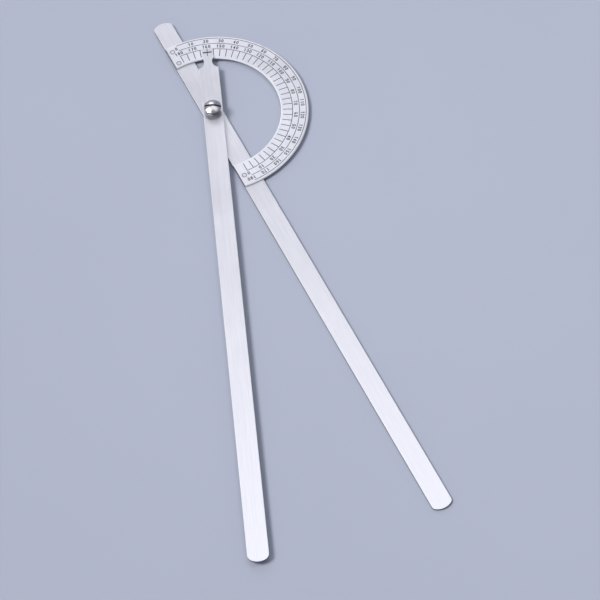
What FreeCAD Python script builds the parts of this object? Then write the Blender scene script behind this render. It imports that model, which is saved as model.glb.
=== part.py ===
import FreeCAD, Part
import math
import os
import Sketcher
from FreeCAD import Placement, Rotation, Vector

# A long-arm steel protractor, in millimetres. A fixed arm carries a half-circle
# scale plate on three flush rivets. A moving arm with a pointer turns over it on
# a slotted shoulder screw, which a threaded bush holds from behind.
#
# Frame: origin on the pivot axis at the lowest face (the bush flange), +Z up
# through the screw head, +Y along the fixed arm to its short end, and the scale
# on the +X side. Bearings run clockwise from +Y, seen from above.

SIZES = [
    ("arm_width", 11.4, "width of both arms"),
    ("arm_end_radius", 8.0, "radius of the flat arc that ends an arm"),
    ("base_corner_radius", 2.6, "rounding of the fixed arm's corners"),
    ("moving_corner_radius", 3.8, "rounding of the moving arm's lower corners"),
    ("edge_break", 0.15, "chamfer on the edges of the sheet-metal pieces"),
    ("base_thickness", 1.5, "fixed arm thickness"),
    ("base_long_reach", 285.0, "pivot to the far end of the fixed arm"),
    ("base_short_overhang", 18.7, "fixed arm beyond the scale at its short end"),
    ("moving_thickness", 1.5, "moving arm thickness"),
    ("moving_reach", 287.2, "pivot to the far end of the moving arm"),
    ("rest_bearing", 20.3, "bearing at which the pointer stands, just past the 20 mark"),
    ("scale_outer_radius", 55.0, "scale plate outer radius"),
    ("scale_ring_width", 15.9, "width of the scale plate's band"),
    ("scale_thickness", 1.2, "scale plate thickness"),
    ("scale_bevel", 0.45, "bevel on the scale plate's two curved upper edges"),
    ("arm_scale_gap", 0.15, "air between the scale plate and the moving arm"),
    ("rim_margin", 1.4, "outer edge to the outer line"),
    ("numeral_band", 3.9, "height of each of the two numeral bands"),
    ("tick_margin", 1.3, "inner edge to the inner ends of the degree marks"),
    ("tick_step", 5.0, "degrees between two marks"),
    ("tick_width", 0.44, "width of a degree mark"),
    ("line_width", 0.38, "width of the three arc lines"),
    ("line_inset", 1.0, "degrees by which the two outer lines stop short"),
    ("numeral_step", 10.0, "degrees between two numerals"),
    ("digit_width", 1.3, "overall width of a digit"),
    ("digit_tall", 2.3, "overall height of a digit"),
    ("digit_pitch", 1.75, "distance between digits of one numeral"),
    ("digit_stroke", 0.46, "width of a digit's stroke"),
    ("groove_depth", 0.15, "depth of every engraved groove"),
    ("fill_sink", 0.03, "how far the colour fill lies below the surface"),
    ("fill_gap", 0.01, "side gap between a groove and its fill"),
    ("rivet_diameter", 2.5, "flush rivet diameter"),
    ("rivet_outer_inset", 4.5, "outer edge to the upper outer rivet"),
    ("rivet_inner_inset", 2.4, "inner edge to the upper inner rivet"),
    ("rivet_lower_inset", 7.0, "outer edge to the single lower rivet"),
    ("pointer_end_gap", 0.3, "pointer end to the inner arc line"),
    ("pointer_head_width", 6.8, "width of the pointer's head"),
    ("pointer_neck_width", 4.6, "narrowest width below the head"),
    ("pointer_notch_radius", 4.4, "radius of the two round notches"),
    ("pointer_notch_drop", 3.7, "scale's inner edge down to the notch centres"),
    ("index_width", 0.4, "width of the pointer's index line"),
    ("index_start", 0.5, "scale's inner edge to the start of the index line"),
    ("index_length", 5.3, "length of the index line"),
    ("index_bar_width", 0.9, "thickness of the bar across the index line"),
    ("index_bar_length", 5.2, "length of the bar across the index line"),
    ("head_margin", 0.65, "rim of the screw head to each side of the arm"),
    ("head_taper", 1.3, "how much narrower the head is at its foot"),
    ("head_side_height", 3.9, "tapered side of the screw head"),
    ("head_dome_height", 1.75, "dome above that side"),
    ("head_rounding", 0.4, "rounding where the dome meets the side"),
    ("slot_width", 1.0, "screwdriver slot width"),
    ("slot_depth", 2.5, "screwdriver slot depth"),
    ("slot_bearing", 119.0, "bearing of the screwdriver slot"),
    ("shoulder_diameter", 5.6, "screw shoulder on which the arm turns"),
    ("thread_diameter", 4.0, "screw thread, outside"),
    ("thread_end_gap", 0.1, "screw end to the floor of the bush"),
    ("running_clearance", 0.04, "radial clearance of the turning fits"),
    ("washer_clearance", 0.1, "radial clearance of the washers"),
    ("washer_margin", 0.7, "washers and flange to each side of the arm"),
    ("spacer_thickness", 1.0, "plain spacer washer on the fixed arm"),
    ("bush_flange", 0.5, "thickness of the bush flange behind the fixed arm"),
    ("bush_floor", 0.3, "closed floor of the bush under the screw's end"),
    ("bush_wall", 0.6, "wall of the bush barrel outside the screw shoulder"),
    ("bush_chamfer", 0.2, "chamfer on the flange's lower edge"),
]

# Sizes that follow from the sheet, written once for every piece that uses them.
HALF_WIDTH = "sizes.arm_width / 2"
BASE_TOP = "(sizes.bush_flange + sizes.base_thickness)"
SCALE_TOP = f"({BASE_TOP} + sizes.scale_thickness)"
MOVING_BOTTOM = f"({SCALE_TOP} + sizes.arm_scale_gap)"
MOVING_TOP = f"({MOVING_BOTTOM} + sizes.moving_thickness)"
INNER_RADIUS = "(sizes.scale_outer_radius - sizes.scale_ring_width)"
OUTER_LINE = "(sizes.scale_outer_radius - sizes.rim_margin)"
MIDDLE_LINE = f"({OUTER_LINE} - sizes.numeral_band)"
INNER_LINE = f"({MIDDLE_LINE} - sizes.numeral_band)"
POINTER_REACH = f"({INNER_LINE} - sizes.line_width / 2 - sizes.pointer_end_gap)"
NOTCH_REACH = f"({INNER_RADIUS} - sizes.pointer_notch_drop)"
RIVET_COLUMN = "sizes.arm_width / 4"
RIVET_REACHES = (
    "(sizes.scale_outer_radius - sizes.rivet_outer_inset)",
    f"({INNER_RADIUS} + sizes.rivet_inner_inset)",
    "-(sizes.scale_outer_radius - sizes.rivet_lower_inset)",
)
SHOULDER_BORE = "(sizes.shoulder_diameter / 2 + sizes.running_clearance)"
WASHER_BORE = "(sizes.shoulder_diameter / 2 + sizes.washer_clearance)"
BARREL_RADIUS = "(sizes.shoulder_diameter / 2 + sizes.bush_wall)"
WASHER_RADIUS = f"({HALF_WIDTH} - sizes.washer_margin)"
HEAD_RADIUS = f"({HALF_WIDTH} - sizes.head_margin)"
BUSH_BORE = "(sizes.thread_diameter / 2 + sizes.running_clearance)"

# Each digit as centre-line strokes in a box 1 wide and 2 tall, y up:
# ("line", x1, y1, x2, y2) or ("arc", centre x, centre y, radius, from, to degrees).
DIGITS = {
    "0": [
        ("line", 0, 0.5, 0, 1.5),
        ("line", 1, 0.5, 1, 1.5),
        ("arc", 0.5, 1.5, 0.5, 0, 180),
        ("arc", 0.5, 0.5, 0.5, 180, 360),
    ],
    "1": [("line", 0.6, 0, 0.6, 2), ("line", 0.6, 2, 0.2, 1.55)],
    "2": [("arc", 0.5, 1.5, 0.5, -37, 170), ("line", 0.9, 1.2, 0, 0), ("line", 0, 0, 1, 0)],
    "3": [("arc", 0.5, 1.5, 0.5, -90, 150), ("arc", 0.5, 0.5, 0.5, -150, 90)],
    "4": [("line", 0.75, 0, 0.75, 2), ("line", 0.75, 2, 0, 0.6), ("line", 0, 0.6, 1, 0.6)],
    "5": [
        ("line", 0.95, 2, 0.1, 2),
        ("line", 0.1, 2, 0.1, 0.97),
        ("arc", 0.45, 0.55, 0.55, -145, 130),
    ],
    "6": [
        ("arc", 0.5, 0.5, 0.5, 0, 180),
        ("arc", 0.5, 0.5, 0.5, 180, 360),
        ("line", 0, 0.5, 0, 1.4),
        ("arc", 0.6, 1.4, 0.6, 70, 180),
    ],
    "7": [("line", 0, 2, 1, 2), ("line", 1, 2, 0.35, 0)],
    "8": [
        ("arc", 0.5, 1.5, 0.5, 0, 180),
        ("arc", 0.5, 1.5, 0.5, 180, 360),
        ("arc", 0.5, 0.5, 0.5, 0, 180),
        ("arc", 0.5, 0.5, 0.5, 180, 360),
    ],
    "9": [
        ("arc", 0.5, 1.5, 0.5, 0, 180),
        ("arc", 0.5, 1.5, 0.5, 180, 360),
        ("line", 1, 1.5, 1, 0.6),
        ("arc", 0.4, 0.6, 0.6, -110, 0),
    ],
}

doc = FreeCAD.newDocument("protractor")
sheet = doc.addObject("Spreadsheet::Sheet", "sizes")


def fill_sheet():
    """Write every driving dimension, with its alias and a note."""
    for row, (alias, value, note) in enumerate(SIZES, start=1):
        sheet.set(f"A{row}", alias)
        sheet.set(f"B{row}", str(value))
        sheet.setAlias(f"B{row}", alias)
        sheet.set(f"C{row}", note)
    doc.recompute()


def value(expression):
    """Number that an expression in the sheet's aliases has now."""
    return float(sheet.evalExpression(expression))


def new_body(name):
    """Empty PartDesign body whose Label is the piece's name."""
    body = doc.addObject("PartDesign::Body", name)
    body.Label = name
    return body


def new_sketch(body, name, role="XY_Plane", raised=None):
    """Sketch on one of the body's origin planes, raised along its normal if asked."""
    sketch = body.newObject("Sketcher::SketchObject", name)
    plane = next(item for item in body.Origin.OriginFeatures if item.Role == role)
    sketch.AttachmentSupport = (plane, "")
    sketch.MapMode = "FlatFace"
    if raised:
        sketch.setExpression("AttachmentOffset.Base.z", raised)
    return sketch


def bind(sketch, name, expression, kind, *where):
    """Add a dimension to a sketch and tie it to the sheet."""
    index = sketch.addConstraint(Sketcher.Constraint(kind, *where, value(expression)))
    sketch.renameConstraint(index, name)
    sketch.setExpression(f"Constraints.{name}", expression)


def add_circle(sketch, name, across, along, radius):
    """Circle with its centre and radius tied to the sheet."""
    centre = Vector(value(across), value(along), 0)
    circle = sketch.addGeometry(Part.Circle(centre, Vector(0, 0, 1), value(radius)))
    bind(sketch, f"{name}_across", across, "DistanceX", -1, 1, circle, 3)
    bind(sketch, f"{name}_along", along, "DistanceY", -1, 1, circle, 3)
    bind(sketch, f"{name}_radius", radius, "Radius", circle)


def add_rectangle(sketch, name, left, right, low, high):
    """Rectangle whose four sides are tied to the sheet."""
    corners = [
        Vector(value(left), value(low), 0),
        Vector(value(right), value(low), 0),
        Vector(value(right), value(high), 0),
        Vector(value(left), value(high), 0),
    ]
    sides = []
    for start, end in zip(corners, corners[1:] + corners[:1]):
        sides.append(sketch.addGeometry(Part.LineSegment(start, end)))
    for side, following in zip(sides, sides[1:] + sides[:1]):
        sketch.addConstraint(Sketcher.Constraint("Coincident", side, 2, following, 1))
    for side, direction in zip(sides, ("Horizontal", "Vertical") * 2):
        sketch.addConstraint(Sketcher.Constraint(direction, side))
    bind(sketch, f"{name}_left", left, "DistanceX", -1, 1, sides[0], 1)
    bind(sketch, f"{name}_low", low, "DistanceY", -1, 1, sides[0], 1)
    bind(sketch, f"{name}_right", right, "DistanceX", -1, 1, sides[2], 1)
    bind(sketch, f"{name}_high", high, "DistanceY", -1, 1, sides[2], 1)


def add_strip(sketch, top_centre, top_radius, low_centre, low_radius):
    """Arm outline: two straight sides closed by an arc at each end."""
    half = value(HALF_WIDTH)
    arcs = []
    ends = []
    for centre, radius, middle in ((top_centre, top_radius, 90), (low_centre, low_radius, 270)):
        spread = math.asin(half / value(radius))
        circle = Part.Circle(Vector(0, value(centre), 0), Vector(0, 0, 1), value(radius))
        first = math.radians(middle) - spread
        last = math.radians(middle) + spread
        arcs.append(sketch.addGeometry(Part.ArcOfCircle(circle, first, last)))
        ends.append((circle.value(first), circle.value(last)))
    left = sketch.addGeometry(Part.LineSegment(ends[1][0], ends[0][1]))
    right = sketch.addGeometry(Part.LineSegment(ends[1][1], ends[0][0]))
    sketch.addConstraint(Sketcher.Constraint("Coincident", left, 1, arcs[1], 1))
    sketch.addConstraint(Sketcher.Constraint("Coincident", left, 2, arcs[0], 2))
    sketch.addConstraint(Sketcher.Constraint("Coincident", right, 1, arcs[1], 2))
    sketch.addConstraint(Sketcher.Constraint("Coincident", right, 2, arcs[0], 1))
    sketch.addConstraint(Sketcher.Constraint("Vertical", left))
    sketch.addConstraint(Sketcher.Constraint("Vertical", right))
    for arc in arcs:
        sketch.addConstraint(Sketcher.Constraint("PointOnObject", arc, 3, -2))
    bind(sketch, "left_side", f"-{HALF_WIDTH}", "DistanceX", -1, 1, left, 1)
    bind(sketch, "right_side", HALF_WIDTH, "DistanceX", -1, 1, right, 1)
    bind(sketch, "top_centre", top_centre, "DistanceY", -1, 1, arcs[0], 3)
    bind(sketch, "top_radius", top_radius, "Radius", arcs[0])
    bind(sketch, "low_centre", low_centre, "DistanceY", -1, 1, arcs[1], 3)
    bind(sketch, "low_radius", low_radius, "Radius", arcs[1])


def pad(body, sketch, name, length):
    """Pad a sketch upwards by a length from the sheet."""
    feature = body.newObject("PartDesign::Pad", name)
    feature.Profile = sketch
    feature.setExpression("Length", length)
    sketch.Visibility = False
    doc.recompute()
    return feature


def pocket(body, sketch, name, depth=None):
    """Pocket down from a raised sketch, or up through everything; it must remove metal."""
    before = body.Shape.Volume
    feature = body.newObject("PartDesign::Pocket", name)
    feature.Profile = sketch
    if depth:
        feature.Type = "Length"
        feature.setExpression("Length", depth)
    else:
        feature.Type = "ThroughAll"
        feature.Reversed = True
    doc.recompute()
    if not body.Shape.Volume < before:
        raise RuntimeError(f"{name} removes nothing")
    return feature


def level_faces(feature, level):
    """Names of the feature's flat horizontal faces at a height."""
    names = []
    for number, face in enumerate(feature.Shape.Faces, start=1):
        flat = face.BoundBox.ZLength < 1e-6
        if flat and abs(face.CenterOfMass.z - level) < 1e-6:
            names.append(f"Face{number}")
    return names


def corner_edges(feature, is_corner):
    """Names of the feature's upright straight edges that pass a test on x and y."""
    names = []
    for number, edge in enumerate(feature.Shape.Edges, start=1):
        box = edge.BoundBox
        upright = box.XLength < 1e-6 and box.YLength < 1e-6
        if upright and is_corner(box.Center.x, box.Center.y):
            names.append(f"Edge{number}")
    return names


def dress(body, kind, name, base, parts, property_name, expression):
    """Fillet or chamfer on named edges or faces of a feature."""
    feature = body.newObject(kind, name)
    feature.Base = (base, parts)
    feature.setExpression(property_name, expression)
    doc.recompute()
    return feature


def arc_edges(feature, level):
    """Names of the feature's curved edges at a height."""
    names = []
    for number, edge in enumerate(feature.Shape.Edges, start=1):
        flat = edge.BoundBox.ZLength < 1e-6 and abs(edge.BoundBox.ZMin - level) < 1e-6
        if flat and isinstance(edge.Curve, Part.Circle):
            names.append(f"Edge{number}")
    return names


def round_edges(feature, level, radius):
    """Names of the feature's full circles of one radius at a height."""
    names = []
    for number, edge in enumerate(feature.Shape.Edges, start=1):
        flat = edge.BoundBox.ZLength < 1e-6 and abs(edge.BoundBox.ZMin - level) < 1e-6
        if flat and abs(edge.BoundBox.XLength - 2 * radius) < 1e-6:
            names.append(f"Edge{number}")
    return names


def round_corners(body, base, is_corner, radius):
    """Round the corners where an arm's end arc meets its sides."""
    edges = corner_edges(base, is_corner)
    return dress(body, "PartDesign::Fillet", "corner_rounding", base, edges, "Radius", radius)


def break_edges(body, base, thickness):
    """Chamfer every edge of a sheet piece's upper and lower faces."""
    faces = level_faces(base, 0) + level_faces(base, value(thickness))
    return dress(body, "PartDesign::Chamfer", "edge_break", base, faces, "Size", "sizes.edge_break")


def rivet_circles(sketch, radius):
    """One circle for each rivet, all in the column beside the 0-180 line."""
    for number, reach in enumerate(RIVET_REACHES, start=1):
        add_circle(sketch, f"rivet{number}", f"-{RIVET_COLUMN}", reach, radius)


def make_base_arm():
    """Fixed arm: a long strip with the bush hole and three rivet holes."""
    body = new_body("base_arm")
    outline = new_sketch(body, "base_outline")
    top_centre = "sizes.scale_outer_radius + sizes.base_short_overhang - sizes.arm_end_radius"
    low_centre = "-(sizes.base_long_reach - sizes.arm_end_radius)"
    add_strip(outline, top_centre, "sizes.arm_end_radius", low_centre, "sizes.arm_end_radius")
    strip = pad(body, outline, "base_strip", "sizes.base_thickness")
    round_corners(body, strip, lambda x, y: True, "sizes.base_corner_radius")
    holes = new_sketch(body, "base_holes")
    add_circle(holes, "bush", "0", "0", BARREL_RADIUS)
    rivet_circles(holes, "sizes.rivet_diameter / 2")
    drilled = pocket(body, holes, "base_drilling")
    break_edges(body, drilled, "sizes.base_thickness")
    body.setExpression("Placement.Base.z", "sizes.bush_flange")
    return body


def make_scale_blank():
    """Half-ring plate before engraving; its straight back edges are flush with the arm."""
    body = new_body("scale_blank")
    outline = new_sketch(body, "ring_outline")
    half = value(HALF_WIDTH)
    arcs = []
    ends = []
    for name, radius in (("outer", "sizes.scale_outer_radius"), ("inner", INNER_RADIUS)):
        reach = math.acos(-half / value(radius))
        circle = Part.Circle(Vector(0, 0, 0), Vector(0, 0, 1), value(radius))
        arc = outline.addGeometry(Part.ArcOfCircle(circle, -reach, reach))
        outline.addConstraint(Sketcher.Constraint("Coincident", arc, 3, -1, 1))
        bind(outline, f"{name}_radius", radius, "Radius", arc)
        arcs.append(arc)
        ends.append((circle.value(-reach), circle.value(reach)))
    for number, name in ((0, "lower"), (1, "upper")):
        edge = outline.addGeometry(Part.LineSegment(ends[0][number], ends[1][number]))
        outline.addConstraint(Sketcher.Constraint("Coincident", edge, 1, arcs[0], number + 1))
        outline.addConstraint(Sketcher.Constraint("Coincident", edge, 2, arcs[1], number + 1))
        outline.addConstraint(Sketcher.Constraint("Vertical", edge))
        bind(outline, f"{name}_back", f"-{HALF_WIDTH}", "DistanceX", -1, 1, edge, 1)
    plate = pad(body, outline, "ring_plate", "sizes.scale_thickness")
    curved = arc_edges(plate, value("sizes.scale_thickness"))
    dress(body, "PartDesign::Chamfer", "ring_bevel", plate, curved, "Size", "sizes.scale_bevel")
    holes = new_sketch(body, "ring_holes")
    rivet_circles(holes, "sizes.rivet_diameter / 2")
    drilled = pocket(body, holes, "ring_drilling")
    rims = round_edges(drilled, value("sizes.scale_thickness"), value("sizes.rivet_diameter / 2"))
    dress(body, "PartDesign::Chamfer", "ring_rivet_rims", drilled, rims, "Size", "sizes.edge_break")
    body.setExpression("Placement.Base.z", BASE_TOP)
    return body


def make_ticks(name, gap, depth_top):
    """Radial degree marks from 0 to 180, as one patterned pad up to a given height."""
    body = new_body(name)
    body.AllowCompound = True
    start = f"{INNER_RADIUS} + sizes.tick_margin + {gap}"
    end = f"{INNER_LINE} - sizes.line_width / 2 - {gap}"
    half = f"(sizes.tick_width / 2 - {gap})"
    outline = new_sketch(body, f"{name}_outline")
    add_rectangle(outline, "tick", f"-{half}", half, start, end)
    mark = pad(body, outline, f"{name}_first", depth_top)
    pattern = body.newObject("PartDesign::PolarPattern", f"{name}_pattern")
    pattern.Originals = [mark]
    axis = next(item for item in body.Origin.OriginFeatures if item.Role == "Z_Axis")
    pattern.Axis = (axis, [""])
    pattern.Reversed = True
    pattern.Angle = 180
    pattern.Occurrences = round(180 / value("sizes.tick_step")) + 1
    body.Tip = pattern
    body.setExpression("Placement.Base.z", f"{SCALE_TOP} - sizes.groove_depth")
    doc.recompute()
    return body


def make_line(name, radius, start, sweep, gap, depth_top):
    """One arc line of the scale: the wall between two part-cylinders."""
    pieces = []
    for side, sign in (("outer", "+"), ("inner", "-")):
        cylinder = doc.addObject("Part::Cylinder", f"{name}_{side}")
        cylinder.setExpression("Radius", f"{radius} {sign} (sizes.line_width / 2 - {gap})")
        cylinder.setExpression("Height", depth_top)
        cylinder.setExpression("Angle", sweep)
        cylinder.Placement = Placement(Vector(), Rotation(Vector(0, 0, 1), -90))
        cylinder.setExpression("Placement.Rotation.Angle", f"{start} - 90 deg")
        pieces.append(cylinder)
    line = doc.addObject("Part::Cut", name)
    line.Base = pieces[0]
    line.Tool = pieces[1]
    line.setExpression("Placement.Base.z", f"{SCALE_TOP} - sizes.groove_depth")
    return line


def make_lines(name, gap, depth_top):
    """Three arc lines: the inner one closes the end marks, the others stop short."""
    overrun = f"atan((sizes.tick_width / 2 - {gap}) / {INNER_LINE})"
    sweep = f"180 deg + 2 * {overrun}"
    lines = [make_line(f"{name}_inner", INNER_LINE, f"-{overrun}", sweep, gap, depth_top)]
    inset = "sizes.line_inset * 1 deg"
    sweep = f"180 deg - 2 * {inset}"
    for side, radius in (("middle", MIDDLE_LINE), ("outer", OUTER_LINE)):
        lines.append(make_line(f"{name}_{side}", radius, inset, sweep, gap, depth_top))
    group = doc.addObject("Part::Compound", name)
    group.Links = lines
    group.Label = name
    return group


def stroke_face(stroke, unit, half):
    """Flat face with round ends along one straight or curved stroke."""
    if stroke[0] == "line":
        start = Vector(stroke[1] * unit[0], stroke[2] * unit[1], 0)
        end = Vector(stroke[3] * unit[0], stroke[4] * unit[1], 0)
        along = (end - start).normalize()
        side = Vector(-along.y, along.x, 0) * half
        edges = [
            Part.LineSegment(start - side, end - side).toShape(),
            Part.Arc(end - side, end + along * half, end + side).toShape(),
            Part.LineSegment(end + side, start + side).toShape(),
            Part.Arc(start + side, start - along * half, start - side).toShape(),
        ]
        return Part.Face(Part.Wire(edges))
    centre = Vector(stroke[1] * unit[0], stroke[2] * unit[1], 0)
    radius = stroke[3] * unit[0]
    first, last = (math.radians(angle) for angle in stroke[4:6])

    def spoke(angle, length):
        return centre + Vector(math.cos(angle), math.sin(angle), 0) * length

    def cap(angle, sense):
        forward = Vector(-math.sin(angle), math.cos(angle), 0) * (half * sense)
        return spoke(angle, radius) + forward

    middle = (first + last) / 2
    far = radius + half
    near = radius - half
    outer = Part.Arc(spoke(first, far), spoke(middle, far), spoke(last, far))
    inner = Part.Arc(spoke(last, near), spoke(middle, near), spoke(first, near))
    last_cap = Part.Arc(spoke(last, far), cap(last, 1), spoke(last, near))
    first_cap = Part.Arc(spoke(first, near), cap(first, -1), spoke(first, far))
    return Part.Face(Part.Wire([edge.toShape() for edge in (outer, last_cap, inner, first_cap)]))


def digit_solid(character, gap, height):
    """Solid digit with its lower left corner at the origin."""
    stroke = value("sizes.digit_stroke")
    unit = (value("sizes.digit_width") - stroke, (value("sizes.digit_tall") - stroke) / 2)
    solids = []
    for part in DIGITS[character]:
        solids.append(stroke_face(part, unit, stroke / 2 - gap).extrude(Vector(0, 0, height)))
    digit = solids[0].fuse(solids[1:]).removeSplitter()
    digit.translate(Vector(stroke / 2, stroke / 2, 0))
    return digit


def make_numerals(name, band_middle, reading, gap, height):
    """Numerals round one band, digit tops outwards, centred on their bearings."""
    sizes = (value(gap), value(height))
    digits = {character: digit_solid(character, *sizes) for character in DIGITS}
    pitch = value("sizes.digit_pitch")
    step = value("sizes.numeral_step")
    foot = value(band_middle) - value("sizes.digit_tall") / 2
    copies = []
    for number in range(round(180 / step) + 1):
        bearing = number * step
        text = str(round(reading(bearing)))
        length = (len(text) - 1) * pitch + value("sizes.digit_width")
        for place, character in enumerate(text):
            digit = digits[character].copy()
            digit.translate(Vector(place * pitch - length / 2, foot, 0))
            digit.rotate(Vector(), Vector(0, 0, 1), -bearing)
            copies.append(digit)
    group = doc.addObject("Part::Feature", name)
    group.Label = name
    group.Shape = Part.makeCompound(copies)
    group.setExpression("Placement.Base.z", f"{SCALE_TOP} - sizes.groove_depth")
    return group


def cut_away(base, tools, name):
    """Cut tools from a piece one after another; the last result is the named piece."""
    piece = base
    for number, tool in enumerate(tools, start=1):
        last = number == len(tools)
        result = doc.addObject("Part::Cut", name if last else f"{name}_cut{number}")
        result.Base = piece
        result.Tool = tool
        piece = result
    piece.Label = name
    return piece


def make_scale_marks(suffix, gap, height):
    """The four sets of marks on the scale plate, as fills or as cutting tools."""
    marks = [
        make_ticks(f"tick_marks{suffix}", gap, height),
        make_lines(f"ring_lines{suffix}", gap, height),
    ]
    bands = [
        ("outer_numerals", OUTER_LINE, MIDDLE_LINE, lambda bearing: bearing),
        ("inner_numerals", MIDDLE_LINE, INNER_LINE, lambda bearing: 180 - bearing),
    ]
    for name, outer, inner, reading in bands:
        middle = f"({outer} + {inner}) / 2"
        marks.append(make_numerals(f"{name}{suffix}", middle, reading, gap, height))
    return marks


def make_scale_plate():
    """Engraved scale plate: the blank less every groove."""
    grooves = make_scale_marks("_groove", "0", "2 * sizes.groove_depth")
    return cut_away(make_scale_blank(), grooves, "scale_plate")


def make_rivets():
    """Three flush rivets through the plate and the arm, as one group of solids."""
    length = "sizes.base_thickness + sizes.scale_thickness"
    rivets = []
    for number, reach in enumerate(RIVET_REACHES, start=1):
        pin = doc.addObject("Part::Cylinder", f"rivet_pin{number}")
        pin.setExpression("Radius", "sizes.rivet_diameter / 2")
        pin.setExpression("Height", length)
        pin.setExpression("Placement.Base.x", f"-{RIVET_COLUMN}")
        pin.setExpression("Placement.Base.y", reach)
        pin.setExpression("Placement.Base.z", "sizes.bush_flange")
        doc.recompute()
        edges = enumerate(pin.Shape.Edges, start=1)
        rims = [index for index, edge in edges if edge.BoundBox.ZLength < 1e-6]
        rivet = doc.addObject("Part::Chamfer", f"rivet{number}")
        rivet.Base = pin
        chamfer = value("sizes.edge_break")
        rivet.Edges = [(index, chamfer, chamfer) for index in rims]
        rivets.append(rivet)
    group = doc.addObject("Part::Compound", "scale_rivets")
    group.Links = rivets
    group.Label = "scale_rivets"
    return group


def place_on_moving_arm(piece, height):
    """Set a piece at a height in the moving arm's frame, turned to the rest reading."""
    piece.Placement = Placement(Vector(0, 0, 0), Rotation(Vector(0, 0, 1), -1))
    piece.setExpression("Placement.Rotation.Angle", "-sizes.rest_bearing")
    piece.setExpression("Placement.Base.z", height)


def index_rectangles(gap):
    """Name and sides of the index line and of the bar across it."""
    half_line = f"(sizes.index_width / 2 - {gap})"
    half_bar = f"(sizes.index_bar_length / 2 - {gap})"
    low = f"({INNER_RADIUS} + sizes.index_start)"
    middle = f"({low} + sizes.index_length / 2)"
    thick = f"(sizes.index_bar_width / 2 - {gap})"
    return [
        ("line", f"-{half_line}", half_line, f"{low} + {gap}", f"{low} + sizes.index_length - {gap}"),
        ("bar", f"-{half_bar}", half_bar, f"{middle} - {thick}", f"{middle} + {thick}"),
    ]


def make_moving_arm():
    """Moving arm: a strip whose upper end is notched and narrowed to a pointer."""
    body = new_body("moving_arm")
    outline = new_sketch(body, "moving_outline")
    low_centre = "-(sizes.moving_reach - sizes.arm_end_radius)"
    add_strip(outline, "0", POINTER_REACH, low_centre, "sizes.arm_end_radius")
    strip = pad(body, outline, "moving_strip", "sizes.moving_thickness")
    round_corners(body, strip, lambda x, y: y < 0, "sizes.moving_corner_radius")
    notches = new_sketch(body, "pointer_notches")
    across = "(sizes.pointer_neck_width / 2 + sizes.pointer_notch_radius)"
    add_circle(notches, "left", f"-{across}", NOTCH_REACH, "sizes.pointer_notch_radius")
    add_circle(notches, "right", across, NOTCH_REACH, "sizes.pointer_notch_radius")
    pocket(body, notches, "notch_cut")
    sides = new_sketch(body, "pointer_sides")
    beyond = f"({POINTER_REACH} + sizes.arm_width)"
    inside = "sizes.pointer_head_width / 2"
    add_rectangle(sides, "left", "-sizes.arm_width", f"-{inside}", NOTCH_REACH, beyond)
    add_rectangle(sides, "right", inside, "sizes.arm_width", NOTCH_REACH, beyond)
    pocket(body, sides, "side_cut")
    bore = new_sketch(body, "pivot_bore")
    add_circle(bore, "bore", "0", "0", SHOULDER_BORE)
    bored = pocket(body, bore, "bore_cut")
    break_edges(body, bored, "sizes.moving_thickness")
    for name, *sides in index_rectangles("0"):
        groove = new_sketch(body, f"index_{name}", raised="sizes.moving_thickness")
        add_rectangle(groove, name, *sides)
        pocket(body, groove, f"index_{name}_groove", "sizes.groove_depth")
    place_on_moving_arm(body, MOVING_BOTTOM)
    return body


def make_pointer_mark():
    """Colour fill of the pointer's index line and bar."""
    body = new_body("pointer_mark")
    for name, *sides in index_rectangles("sizes.fill_gap"):
        outline = new_sketch(body, f"fill_{name}")
        add_rectangle(outline, name, *sides)
        pad(body, outline, f"fill_{name}_pad", "sizes.groove_depth - sizes.fill_sink")
    place_on_moving_arm(body, f"{MOVING_TOP} - sizes.groove_depth")
    return body


def make_washer(name, bottom, thickness):
    """Plain washer round the screw's shoulder, hidden under the moving arm."""
    body = new_body(name)
    outline = new_sketch(body, f"{name}_outline")
    add_circle(outline, "rim", "0", "0", WASHER_RADIUS)
    add_circle(outline, "bore", "0", "0", WASHER_BORE)
    pad(body, outline, f"{name}_disc", thickness)
    body.setExpression("Placement.Base.z", bottom)
    return body


def revolve(body, name, corners, dome=None):
    """Revolve a closed half profile of (radius, height) expressions about Z.

    Both coordinates of every corner are tied to the sheet. With a dome, the last
    corner is joined to the first by an arc centred on the axis at that height.
    """
    sketch = new_sketch(body, f"{name}_profile", role="XZ_Plane")
    points = [Vector(value(radius), value(height), 0) for radius, height in corners]
    count = len(points)
    lines = []
    for number in range(count - 1 if dome else count):
        segment = Part.LineSegment(points[number], points[(number + 1) % count])
        lines.append(sketch.addGeometry(segment))
    for side, following in zip(lines, lines[1:]):
        sketch.addConstraint(Sketcher.Constraint("Coincident", side, 2, following, 1))
    if dome:
        radius = points[-1].sub(Vector(0, value(dome), 0)).Length
        circle = Part.Circle(Vector(0, value(dome), 0), Vector(0, 0, 1), radius)
        rise = math.atan2(points[-1].y - value(dome), points[-1].x)
        arc = sketch.addGeometry(Part.ArcOfCircle(circle, rise, math.pi / 2))
        sketch.addConstraint(Sketcher.Constraint("Coincident", lines[-1], 2, arc, 1))
        sketch.addConstraint(Sketcher.Constraint("Coincident", lines[0], 1, arc, 2))
        sketch.addConstraint(Sketcher.Constraint("PointOnObject", arc, 3, -2))
    else:
        sketch.addConstraint(Sketcher.Constraint("Coincident", lines[-1], 2, lines[0], 1))
    for number, (radius, height) in enumerate(corners):
        geometry, end = (lines[number], 1) if number < len(lines) else (lines[-1], 2)
        bind(sketch, f"radius{number}", radius, "DistanceX", -1, 1, geometry, end)
        bind(sketch, f"height{number}", height, "DistanceY", -1, 1, geometry, end)
    feature = body.newObject("PartDesign::Revolution", name)
    feature.Profile = sketch
    feature.ReferenceAxis = (sketch, ["V_Axis"])
    feature.Angle = 360
    doc.recompute()
    return feature


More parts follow.
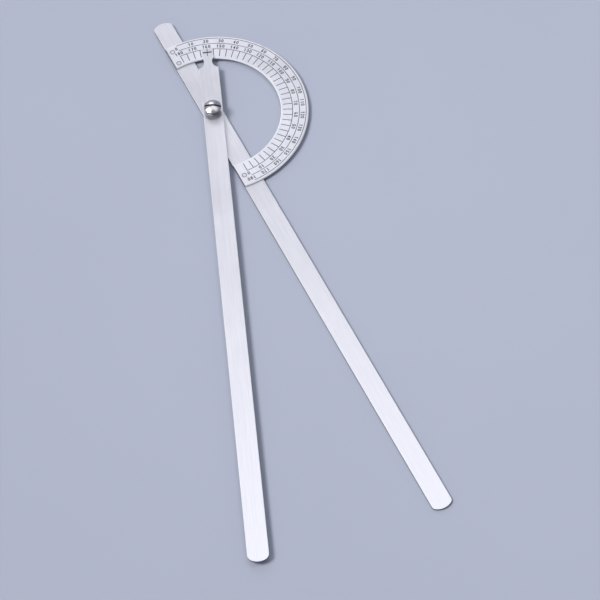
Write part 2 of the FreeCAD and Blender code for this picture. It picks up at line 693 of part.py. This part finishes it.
def make_pivot_screw():
    """Shoulder screw with a tall tapered head, a dome and a screwdriver slot."""
    body = new_body("pivot_screw")
    shoulder = "sizes.shoulder_diameter / 2"
    thread = "sizes.thread_diameter / 2"
    side_top = f"{MOVING_TOP} + sizes.head_side_height"
    top = f"{side_top} + sizes.head_dome_height"
    low = "(sizes.bush_floor + sizes.thread_end_gap)"
    dome_radius = f"(({HEAD_RADIUS})^2 + sizes.head_dome_height^2) / (2 * sizes.head_dome_height)"
    corners = [
        ("0", top),
        ("0", low),
        (thread, low),
        (thread, BASE_TOP),
        (shoulder, BASE_TOP),
        (shoulder, MOVING_TOP),
        (f"{HEAD_RADIUS} - sizes.head_taper", MOVING_TOP),
        (HEAD_RADIUS, side_top),
    ]
    turned = revolve(body, "screw_turned", corners, dome=f"{top} - {dome_radius}")
    rim = round_edges(turned, value(side_top), value(HEAD_RADIUS))
    dress(body, "PartDesign::Fillet", "head_rim", turned, rim, "Radius", "sizes.head_rounding")
    slot = new_sketch(body, "slot_outline", raised=top)
    half = "sizes.slot_width / 2"
    add_rectangle(slot, "slot", "-sizes.arm_width", "sizes.arm_width", f"-{half}", half)
    pocket(body, slot, "slot_cut", "sizes.slot_depth")
    body.Placement = Placement(Vector(), Rotation(Vector(0, 0, 1), -1))
    body.setExpression("Placement.Rotation.Angle", "90 - sizes.slot_bearing")
    return body


def make_threaded_bush():
    """Blind flanged bush pressed into the fixed arm from behind; its flange is the lowest face."""
    body = new_body("threaded_bush")
    corners = [
        ("0", "0"),
        (f"{WASHER_RADIUS} - sizes.bush_chamfer", "0"),
        (WASHER_RADIUS, "sizes.bush_chamfer"),
        (WASHER_RADIUS, "sizes.bush_flange"),
        (BARREL_RADIUS, "sizes.bush_flange"),
        (BARREL_RADIUS, BASE_TOP),
        (BUSH_BORE, BASE_TOP),
        (BUSH_BORE, "sizes.bush_floor"),
        ("0", "sizes.bush_floor"),
    ]
    revolve(body, "bush_turned", corners)
    return body


def check_document():
    """Stop if any object failed to recompute."""
    for item in doc.Objects:
        if "Invalid" in item.State or "Error" in item.State:
            raise RuntimeError(f"{item.Label} failed: {item.State}")


def write_pieces(pieces):
    """Check every piece's shape, then write one STEP file for each."""
    for piece in pieces:
        if piece.Shape.isNull() or not piece.Shape.isValid():
            raise RuntimeError(f"{piece.Label} has no valid shape")
    os.makedirs("parts", exist_ok=True)
    for piece in pieces:
        piece.Shape.exportStep(f"parts/{piece.Label}.step")
        print(piece.Label, "solids", len(piece.Shape.Solids), "volume", round(piece.Shape.Volume, 3))


fill_sheet()
spacer_top = f"({BASE_TOP} + sizes.spacer_thickness)"
pieces = [
    make_base_arm(),
    make_scale_plate(),
    make_rivets(),
    *make_scale_marks("", "sizes.fill_gap", "sizes.groove_depth - sizes.fill_sink"),
    make_moving_arm(),
    make_pointer_mark(),
    make_washer("spacer_washer", BASE_TOP, "sizes.spacer_thickness"),
    make_washer("friction_washer", spacer_top, f"{MOVING_BOTTOM} - {spacer_top}"),
    make_pivot_screw(),
    make_threaded_bush(),
]
doc.recompute()
check_document()
write_pieces(pieces)
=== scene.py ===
import math

import bmesh
import bpy
from mathutils import Matrix, Vector


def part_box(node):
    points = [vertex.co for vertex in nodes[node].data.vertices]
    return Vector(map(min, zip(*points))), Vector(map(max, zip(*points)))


# A long-arm steel protractor on a pale table, in metres. The frame's origin is on
# the pivot axis at the lowest face, +Z up, +Y along the fixed arm to its short end.

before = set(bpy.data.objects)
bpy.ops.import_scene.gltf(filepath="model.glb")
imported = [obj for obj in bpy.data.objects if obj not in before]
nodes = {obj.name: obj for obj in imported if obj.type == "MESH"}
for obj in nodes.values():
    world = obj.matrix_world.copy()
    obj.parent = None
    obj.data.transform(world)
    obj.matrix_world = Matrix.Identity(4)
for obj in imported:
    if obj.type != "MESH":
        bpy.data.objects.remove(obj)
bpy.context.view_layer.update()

# Camera: the point on the table that it looks at, and how it looks.
CAMERA_TARGET = Vector((-0.01114, -0.13647, 0.00216))
CAMERA_DISTANCE = 1.3296
CAMERA_AZIMUTH = math.radians(-21.41)
CAMERA_ELEVATION = math.radians(58.59)
CAMERA_ROLL = math.radians(-5.46)
CAMERA_LENS_MM = 145.4

# Table and surround. The table goes from its darker shade to its lighter one along X, a painted
# shade darker on the left, and the sky is brighter at the horizon than overhead.
TABLE_SIZE = 6.0
TABLE_SQUARES = 24
TABLE_COLOUR = (0.435, 0.465, 0.566)
TABLE_SHADES = (0.935, 1.05)
TABLE_PAINTED_SHADE_SPAN = (-0.22, 0.12)
SKY_COLOUR = (0.86, 0.88, 1.0)
SKY_LOW = 0.46
SKY_HIGH = 0.18

# Lamps: name, place, the place it points at, width, depth, power and colour.
LAMPS = (
    ("left_softbox", (-2.77, 0.64, 4.34), (0.0, -0.1, 0.0), 1.8, 1.8, 186.0, (1.0, 0.99, 0.98)),
    ("back_softbox", (0.60, 3.40, 2.30), (0.0, -0.1, 0.0), 1.8, 1.2, 21.0, (0.96, 0.97, 1.0)),
    ("top_softbox", (0.45, 0.10, 1.75), (0.10, -0.15, 0.0), 1.7, 1.0, 7.4, (0.97, 0.98, 1.0)),
)

# What most of a fractal noise's values lie between, and a narrower middle band.
NOISE_RANGE = (0.3, 0.7)
NOISE_MIDDLE = (0.35, 0.65)

# Satin grain: noise cells per metre across it, along it and through the sheet. The
# scratches are where their noise peaks, a little slanted to the grain.
FINE_GRAIN = (5200, 60, 60)
STREAKS = (900, 7, 9)
SMUDGES = (22, 22, 22)
SCRATCHES = (1400, 35, 35)
SCRATCH_SLANT = 0.12
SCRATCH_PEAKS = (0.72, 0.80)

# Satin steel from its dullest to its brightest grain, and what marks it.
STEEL_DARK = (0.67, 0.67, 0.725)
STEEL_LIGHT = (0.87, 0.87, 0.93)
SCALE_GAIN = 1.14
# How dark the painted shade in the fixed arm's tight corners is.
FIXED_ARM_CORNER_SHADE = 0.6
RIVET_GRAIN_TURN = 0.5
SCRATCH_COLOUR = (0.95, 0.95, 0.96)
# Painted shade in tight corners.
CORNER_SHADE_COLOUR = (0.10, 0.10, 0.13)
# Painted shade in the rivet rings and along the plate's back edges.
LINE_SHADE_COLOUR = (0.05, 0.06, 0.09)

# How level a face is, from 0 upright to 1 level: walls turn into chamfers over the
# first range and chamfers into tops over the second.
WALL_LEVELS = (0.36, 0.50)
TOP_LEVELS = (0.85, 0.97)

# Walls and rims, painted with light or shade: a colour, and the share of plain metal left in it.
# Painted shade on the arms' and rivets' walls.
PAINTED_SHADE_WALL = ((0.16, 0.16, 0.19), 0.6)
# Painted highlight on the arms' chamfers.
PAINTED_HIGHLIGHT_SOFT_RIM = ((0.95, 0.96, 1.0), 0.2)
# Painted light on the plate's walls.
PAINTED_LIGHT_WALL = ((0.88, 0.89, 0.93), 0.1)
# Painted highlight on the plate's chamfers.
PAINTED_HIGHLIGHT_RIM = ((0.95, 0.96, 1.0), 0.1)
# Painted shade on the rivets' chamfers.
PAINTED_SHADE_RIVET_RIM = ((0.05, 0.06, 0.10), 0.3)

# Turned steel: its darker and lighter colour, two roughnesses and its rings' scale.
SCREW_FINISH = ((0.52, 0.51, 0.54), (0.72, 0.71, 0.74), (0.25, 0.33), 900)
BUSH_FINISH = ((0.50, 0.50, 0.54), (0.74, 0.74, 0.78), (0.22, 0.36), 700)
WASHER_FINISH = ((0.42, 0.42, 0.45), (0.62, 0.62, 0.66), (0.30, 0.45), 600)
# Painted shade on the screw head's upper wall.
SHADED_WALL_COLOUR = (0.03, 0.03, 0.04)
# Painted shade in the screw's slot.
SLOT_SHADE_COLOUR = (0.02, 0.02, 0.03)

# Black fill of the engraved marks.
FILL_DARK = (0.012, 0.012, 0.016)
FILL_LIGHT = (0.06, 0.06, 0.07)

# Painted shade in tight corners, on flat pieces and in the screw's slot: how far the search for
# them reaches, and how open a place is where the painted shade is darkest and where it ends.
EDGE_CORNER_SHADE_SEARCH = (0.0010, 0.45, 0.80)
SLOT_SHADE_SEARCH = (0.0016, 0.25, 0.75)

# Painted shade in the rings round the rivets: where it starts to fade and where it ends, from a
# rivet's centre, and a gap along Y that is wider than any between two corners of one rivet.
RIVET_RING_SHADE = (0.00140, 0.00150)
RIVET_GAP = 0.001

# The same for the painted shade line along the plate's straight back edges, from the edge.
BACK_EDGE_SHADE = (0.00002, 0.00012)

# Corners of the moving arm this near to its farthest one belong to its far end.
ARM_END_SPAN = 0.009

# The screw head is shaded from this share of its height, over this fade.
HEAD_SHADE_SHARE = 0.2
SHADE_FADE = (-0.0004, 0.0008)


def add(tree, kind, inputs=None, **settings):
    """Add a shader node, set its properties, and fill or link its inputs."""
    node = tree.nodes.new(kind)
    for name, setting in settings.items():
        setattr(node, name, setting)
    for name, source in (inputs or {}).items():
        if isinstance(source, bpy.types.NodeSocket):
            tree.links.new(source, node.inputs[name])
        else:
            node.inputs[name].default_value = source
    return node


def spread(tree, source, low, high, start=0.0, end=1.0):
    """Map a value from the range start..end to low..high."""
    ranges = {"Value": source, "From Min": start, "From Max": end, "To Min": low, "To Max": high}
    return add(tree, "ShaderNodeMapRange", ranges, clamp=True).outputs["Result"]


def blend(tree, factor, first, second):
    """Mix two colours by a factor."""
    node = add(tree, "ShaderNodeMix", {"Factor": factor}, data_type="RGBA")
    for socket, colour in ((node.inputs[6], first), (node.inputs[7], second)):
        if isinstance(colour, bpy.types.NodeSocket):
            tree.links.new(colour, socket)
        else:
            socket.default_value = (*colour, 1.0)
    return node.outputs[2]


def sum_of(tree, *terms):
    """Add several values together."""
    total = terms[0]
    for term in terms[1:]:
        total = add(tree, "ShaderNodeMath", {0: total, 1: term}, operation="ADD").outputs[0]
    return total


def product(tree, first, second):
    """Multiply two values."""
    return add(tree, "ShaderNodeMath", {0: first, 1: second}, operation="MULTIPLY").outputs[0]


def part_of(tree, vector, axis):
    """One axis of a vector."""
    return add(tree, "ShaderNodeSeparateXYZ", {0: vector}).outputs[axis]


def noise(tree, coordinates, detail=4.0, roughness=0.55):
    """Fractal noise over mapped coordinates, from about 0.3 to 0.7."""
    inputs = {"Vector": coordinates, "Scale": 1.0, "Detail": detail, "Roughness": roughness}
    return add(tree, "ShaderNodeTexNoise", inputs).outputs["Fac"]


def mapped(tree, stretch, turn=0.0):
    """Object coordinates, turned about Z and then stretched."""
    place = add(tree, "ShaderNodeTexCoord").outputs["Object"]
    turned = add(tree, "ShaderNodeMapping", {"Vector": place, "Rotation": (0, 0, turn)})
    return add(tree, "ShaderNodeMapping", {"Vector": turned.outputs[0], "Scale": stretch}).outputs[0]


def start_material(name):
    """Empty node material with a Principled shader, and its tree and shader."""
    material = bpy.data.materials.new(name)
    material.use_nodes = True
    tree = material.node_tree
    shader = tree.nodes["Principled BSDF"]
    return material, tree, shader


def levelness(tree):
    """0 on upright faces, 1 on level ones."""
    normal = add(tree, "ShaderNodeNewGeometry").outputs["Normal"]
    height = part_of(tree, normal, "Z")
    return add(tree, "ShaderNodeMath", {0: height}, operation="ABSOLUTE").outputs[0]


def edge_factor(tree):
    """1 on the chamfers, where the metal is neither level nor upright."""
    level = levelness(tree)
    rising = spread(tree, level, 0.0, 1.0, *WALL_LEVELS)
    falling = spread(tree, level, 1.0, 0.0, *TOP_LEVELS)
    return product(tree, rising, falling)


def wall_factor(tree):
    """1 on upright faces and on steep tapers, which carry painted shade or light."""
    return spread(tree, levelness(tree), 1.0, 0.0, *WALL_LEVELS)


def crevice_factor(tree, reach, closed, clear):
    """1 deep in slots and tight corners, 0 in the open."""
    openness = add(tree, "ShaderNodeAmbientOcclusion", {"Distance": reach}, samples=8).outputs["AO"]
    return spread(tree, openness, 1.0, 0.0, closed, clear)


def rivet_centres():
    """Centre of each rivet in plan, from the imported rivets' own corners."""
    corners = [vertex.co.copy() for vertex in nodes["scale_rivets"].data.vertices]
    corners.sort(key=lambda corner: corner.y)
    groups = [[corners[0]]]
    for corner in corners[1:]:
        if corner.y - groups[-1][-1].y > RIVET_GAP:
            groups.append([])
        groups[-1].append(corner)
    centres = []
    for group in groups:
        xs = [corner.x for corner in group]
        centres.append(((min(xs) + max(xs)) / 2, (group[0].y + group[-1].y) / 2, 0.0))
    return centres


def scale_shade_lines(tree):
    """1 where painted shade lines go: the rings round the rivets and the plate's straight back
    edges.
    """
    level = mapped(tree, (1, 1, 0))
    masks = []
    for centre in rivet_centres():
        gap = add(tree, "ShaderNodeVectorMath", {0: level, 1: centre}, operation="DISTANCE")
        masks.append(spread(tree, gap.outputs["Value"], 1.0, 0.0, *RIVET_RING_SHADE))
    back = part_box("scale_plate")[0].x
    fade = [back + distance for distance in BACK_EDGE_SHADE]
    masks.append(spread(tree, part_of(tree, level, "X"), 1.0, 0.0, *fade))
    return sum_of(tree, *masks)


def brushed_steel(name, turn, wall, rim, gain=1.0, corner_shade=0.0, shade_lines=None):
    """Satin steel: grain along one direction, smudges, scratches, painted wall shade or light and
    painted highlights or shade on the rims.

    The last two arguments set how dark the painted shade in tight corners is and make a mask of
    painted shade lines.
    """
    material, tree, shader = start_material(name)
    fine = noise(tree, mapped(tree, FINE_GRAIN, turn), 3.0)
    streaks = noise(tree, mapped(tree, STREAKS, turn), 4.0)
    smudges = noise(tree, mapped(tree, SMUDGES, turn), 5.0, 0.6)
    scratch_noise = noise(tree, mapped(tree, SCRATCHES, turn + SCRATCH_SLANT), 2.0)
    scratches = spread(tree, scratch_noise, 0.0, 0.6, *SCRATCH_PEAKS)
    edges = edge_factor(tree)
    walls = wall_factor(tree)
    tone = sum_of(
        tree,
        spread(tree, fine, 0.0, 0.45, *NOISE_RANGE),
        spread(tree, streaks, 0.0, 0.20, *NOISE_RANGE),
        spread(tree, smudges, 0.0, 0.35, *NOISE_RANGE),
    )
    shades = [[channel * gain for channel in shade] for shade in (STEEL_DARK, STEEL_LIGHT)]
    metal = blend(tree, tone, *shades)
    worn = blend(tree, scratches, metal, SCRATCH_COLOUR)
    # Painted shade or light on the walls.
    lit_or_shaded_walls = blend(tree, walls, worn, wall[0])
    # Painted highlight or shade on the chamfers.
    colour = blend(tree, edges, lit_or_shaded_walls, rim[0])
    # Painted shade in tight corners.
    if corner_shade:
        shade_mask = spread(tree, crevice_factor(tree, *EDGE_CORNER_SHADE_SEARCH), 0.0, corner_shade)
        colour = blend(tree, shade_mask, colour, CORNER_SHADE_COLOUR)
    # Painted shade lines.
    if shade_lines:
        colour = blend(tree, shade_lines(tree), colour, LINE_SHADE_COLOUR)
    gloss = sum_of(
        tree,
        spread(tree, fine, 0.30, 0.42, *NOISE_RANGE),
        spread(tree, smudges, -0.03, 0.05, *NOISE_MIDDLE),
        spread(tree, walls, 0.0, 0.15),
    )
    metallic = product(tree, spread(tree, walls, 1.0, wall[1]), spread(tree, edges, 1.0, rim[1]))
    relief = sum_of(
        tree,
        spread(tree, fine, 0.0, 0.7, *NOISE_RANGE),
        spread(tree, streaks, 0.0, 0.3, *NOISE_RANGE),
    )
    bump = add(tree, "ShaderNodeBump", {"Height": relief, "Strength": 0.20, "Distance": 0.00003})
    tree.links.new(colour, shader.inputs["Base Color"])
    tree.links.new(gloss, shader.inputs["Roughness"])
    tree.links.new(metallic, shader.inputs["Metallic"])
    tree.links.new(bump.outputs[0], shader.inputs["Normal"])
    return material


def turned_steel(name, finish, shade_height=1.0):
    """Steel turned on a lathe: rings, marks, painted shade in slots and on walls above a height."""
    dark, light, rough, ring_scale = finish
    material, tree, shader = start_material(name)
    place = mapped(tree, (1, 1, 1))
    settings = {"wave_type": "RINGS", "rings_direction": "Z", "wave_profile": "SIN"}
    waves = {"Scale": ring_scale, "Distortion": 0.6, "Detail": 2.0, "Detail Scale": 2.0}
    rings = add(tree, "ShaderNodeTexWave", {"Vector": place, **waves}, **settings).outputs["Fac"]
    marks = noise(tree, mapped(tree, (320, 320, 320)), 5.0, 0.6)
    shade_mask = crevice_factor(tree, *SLOT_SHADE_SEARCH)
    fade = [shade_height + distance for distance in SHADE_FADE]
    high = spread(tree, part_of(tree, place, "Z"), 0.0, 1.0, *fade)
    walls = product(tree, wall_factor(tree), high)
    tone = sum_of(
        tree,
        spread(tree, rings, 0.0, 0.35),
        spread(tree, marks, 0.0, 0.65, *NOISE_RANGE),
    )
    metal = blend(tree, tone, dark, light)
    # Painted shade on the head's upper wall, then in the slot.
    shaded = blend(tree, walls, metal, SHADED_WALL_COLOUR)
    colour = blend(tree, shade_mask, shaded, SLOT_SHADE_COLOUR)
    gloss = sum_of(
        tree,
        spread(tree, rings, *rough),
        spread(tree, marks, -0.02, 0.05, *NOISE_MIDDLE),
        spread(tree, shade_mask, 0.0, 0.4),
    )
    relief = sum_of(
        tree,
        spread(tree, rings, 0.0, 0.8),
        spread(tree, marks, 0.0, 0.2, *NOISE_RANGE),
    )
    bump = add(tree, "ShaderNodeBump", {"Height": relief, "Strength": 0.15, "Distance": 0.00002})
    tree.links.new(colour, shader.inputs["Base Color"])
    tree.links.new(gloss, shader.inputs["Roughness"])
    tree.links.new(spread(tree, shade_mask, 1.0, 0.0), shader.inputs["Metallic"])
    tree.links.new(bump.outputs[0], shader.inputs["Normal"])
    return material


def colour_fill(name):
    """Dull black paint rubbed into a groove, a little uneven in tone and height."""
    material, tree, shader = start_material(name)
    patches = noise(tree, mapped(tree, (900, 900, 900)), 4.0)
    grain = noise(tree, mapped(tree, (6000, 6000, 6000)), 2.0)
    tone = spread(tree, patches, 0.0, 1.0, *NOISE_MIDDLE)
    tree.links.new(blend(tree, tone, FILL_DARK, FILL_LIGHT), shader.inputs["Base Color"])
    tree.links.new(spread(tree, grain, 0.45, 0.75, *NOISE_RANGE), shader.inputs["Roughness"])
    bump = add(tree, "ShaderNodeBump", {"Height": grain, "Strength": 0.3, "Distance": 0.00002})
    tree.links.new(bump.outputs[0], shader.inputs["Normal"])
    return material


def table_material():
    """Matt blue-grey board with painted shade a little darker to the left, faint clouds and a fine
    tooth.
    """
    material, tree, shader = start_material("table_board")
    clouds = noise(tree, mapped(tree, (3, 3, 3)), 3.0)
    across = part_of(tree, mapped(tree, (1, 1, 1)), "X")
    # Random clouds plus painted shade that darkens the board towards the left.
    tone = sum_of(
        tree,
        spread(tree, clouds, 0.0, 0.4, *NOISE_RANGE),
        spread(tree, across, 0.0, 0.6, *TABLE_PAINTED_SHADE_SPAN),
    )
    shades = [[channel * gain for channel in TABLE_COLOUR] for gain in TABLE_SHADES]
    tooth = noise(tree, mapped(tree, (900, 900, 900)), 3.0)
    tree.links.new(blend(tree, tone, *shades), shader.inputs["Base Color"])
    bump = add(tree, "ShaderNodeBump", {"Height": tooth, "Strength": 0.1, "Distance": 0.0001})
    tree.links.new(bump.outputs[0], shader.inputs["Normal"])
    shader.inputs["Roughness"].default_value = 0.85
    shader.inputs["Specular IOR Level"].default_value = 0.2
    return material


def dress(material, *names):
    """Give CAD nodes a material."""
    for name in names:
        slots = nodes[name].data.materials
        slots.clear()
        slots.append(material)


def pointer_bearing():
    """Angle of the moving arm from +Y at rest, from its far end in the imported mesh."""
    corners = [vertex.co for vertex in nodes["moving_arm"].data.vertices]
    tip = max(corners, key=lambda place: place.xy.length)
    far_end = [place.xy for place in corners if (place.xy - tip.xy).length < ARM_END_SPAN]
    middle = sum(far_end, Vector((0, 0)))
    return math.atan2(-middle.x, -middle.y)


def make_table():
    """Board that touches the bush flange and the fixed arm's far end."""
    flange_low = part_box("threaded_bush")[0]
    arm_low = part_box("base_arm")[0]
    slope = (arm_low.z - flange_low.z) / (arm_low.y - flange_low.y)
    mesh = bmesh.new()
    bmesh.ops.create_grid(
        mesh,
        x_segments=TABLE_SQUARES,
        y_segments=TABLE_SQUARES,
        size=TABLE_SIZE / 2,
    )
    for vertex in mesh.verts:
        vertex.co.z = flange_low.z + slope * (vertex.co.y - flange_low.y)
    data = bpy.data.meshes.new("table")
    mesh.to_mesh(data)
    mesh.free()
    table = bpy.data.objects.new("table", data)
    data.materials.append(table_material())
    bpy.context.scene.collection.objects.link(table)


def make_light(name, place, aim, width, depth, power, colour):
    """Rectangular softbox pointing at a place."""
    data = bpy.data.lights.new(name, "AREA")
    data.shape = "RECTANGLE"
    data.size = width
    data.size_y = depth
    data.energy = power
    data.color = colour
    light = bpy.data.objects.new(name, data)
    light.location = place
    light.rotation_mode = "QUATERNION"
    light.rotation_quaternion = (Vector(aim) - Vector(place)).to_track_quat("-Z", "Y")
    bpy.context.scene.collection.objects.link(light)


def make_world():
    """Slightly blue studio surround, brighter at the horizon than overhead."""
    world = bpy.data.worlds.new("studio")
    world.use_nodes = True
    tree = world.node_tree
    direction = add(tree, "ShaderNodeTexCoord").outputs["Generated"]
    strength = spread(tree, part_of(tree, direction, "Z"), SKY_LOW, SKY_HIGH)
    background = tree.nodes["Background"]
    background.inputs["Color"].default_value = (*SKY_COLOUR, 1.0)
    tree.links.new(strength, background.inputs["Strength"])
    bpy.context.scene.world = world


def make_camera():
    """Long lens looking down at the instrument, slightly rolled."""
    forward = Vector((
        -math.sin(CAMERA_AZIMUTH) * math.cos(CAMERA_ELEVATION),
        math.cos(CAMERA_AZIMUTH) * math.cos(CAMERA_ELEVATION),
        -math.sin(CAMERA_ELEVATION),
    ))
    level = forward.cross(Vector((0, 0, 1))).normalized()
    upright = level.cross(forward)
    right = level * math.cos(CAMERA_ROLL) + upright * math.sin(CAMERA_ROLL)
    up = right.cross(forward)
    turn = Matrix((right, up, -forward)).transposed().to_4x4()
    data = bpy.data.cameras.new("camera")
    data.sensor_width = 36.0
    data.lens = CAMERA_LENS_MM
    data.clip_start = 0.05
    data.clip_end = 20.0
    camera = bpy.data.objects.new("camera", data)
    camera.matrix_world = Matrix.Translation(CAMERA_TARGET - forward * CAMERA_DISTANCE) @ turn
    bpy.context.scene.collection.objects.link(camera)
    bpy.context.scene.camera = camera


def head_shade_height():
    """Height on the screw's head above which its wall is shaded."""
    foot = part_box("moving_arm")[1].z
    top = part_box("pivot_screw")[1].z
    return foot * (1 - HEAD_SHADE_SHARE) + top * HEAD_SHADE_SHARE


def dress_flat_pieces():
    """Satin steel on the arms, the plate and its rivets."""
    # The fixed arm gets painted shade in its tight corners.
    fixed_steel = brushed_steel("fixed_arm_steel", 0.0, PAINTED_SHADE_WALL, PAINTED_HIGHLIGHT_SOFT_RIM, corner_shade=FIXED_ARM_CORNER_SHADE)
    moving_steel = brushed_steel("moving_arm_steel", pointer_bearing(), PAINTED_SHADE_WALL, PAINTED_HIGHLIGHT_SOFT_RIM)
    # The plate gets painted light on its walls, painted highlights on its rims and painted shade
    # lines.
    scale_steel = brushed_steel(
        "scale_steel",
        0.0,
        PAINTED_LIGHT_WALL,
        PAINTED_HIGHLIGHT_RIM,
        gain=SCALE_GAIN,
        shade_lines=scale_shade_lines,
    )
    rivet_steel = brushed_steel("rivet_steel", RIVET_GRAIN_TURN, PAINTED_SHADE_WALL, PAINTED_SHADE_RIVET_RIM)
    dress(fixed_steel, "base_arm")
    dress(moving_steel, "moving_arm")
    dress(scale_steel, "scale_plate")
    dress(rivet_steel, "scale_rivets")


def dress_pivot():
    """Turned steel on the screw, the bush and the washers."""
    dress(turned_steel("screw_steel", SCREW_FINISH, head_shade_height()), "pivot_screw")
    dress(turned_steel("bush_steel", BUSH_FINISH), "threaded_bush")
    washer_steel = turned_steel("washer_steel", WASHER_FINISH)
    dress(washer_steel, "spacer_washer", "friction_washer")


def dress_marks():
    """Black paint in every engraved mark."""
    scale_marks = ("tick_marks", "ring_lines", "outer_numerals", "inner_numerals")
    dress(colour_fill("black_fill"), *scale_marks, "pointer_mark")


dress_flat_pieces()
dress_pivot()
dress_marks()
make_table()
for lamp in LAMPS:
    make_light(*lamp)
make_world()
make_camera()
bpy.context.scene.view_settings.view_transform = "Standard"
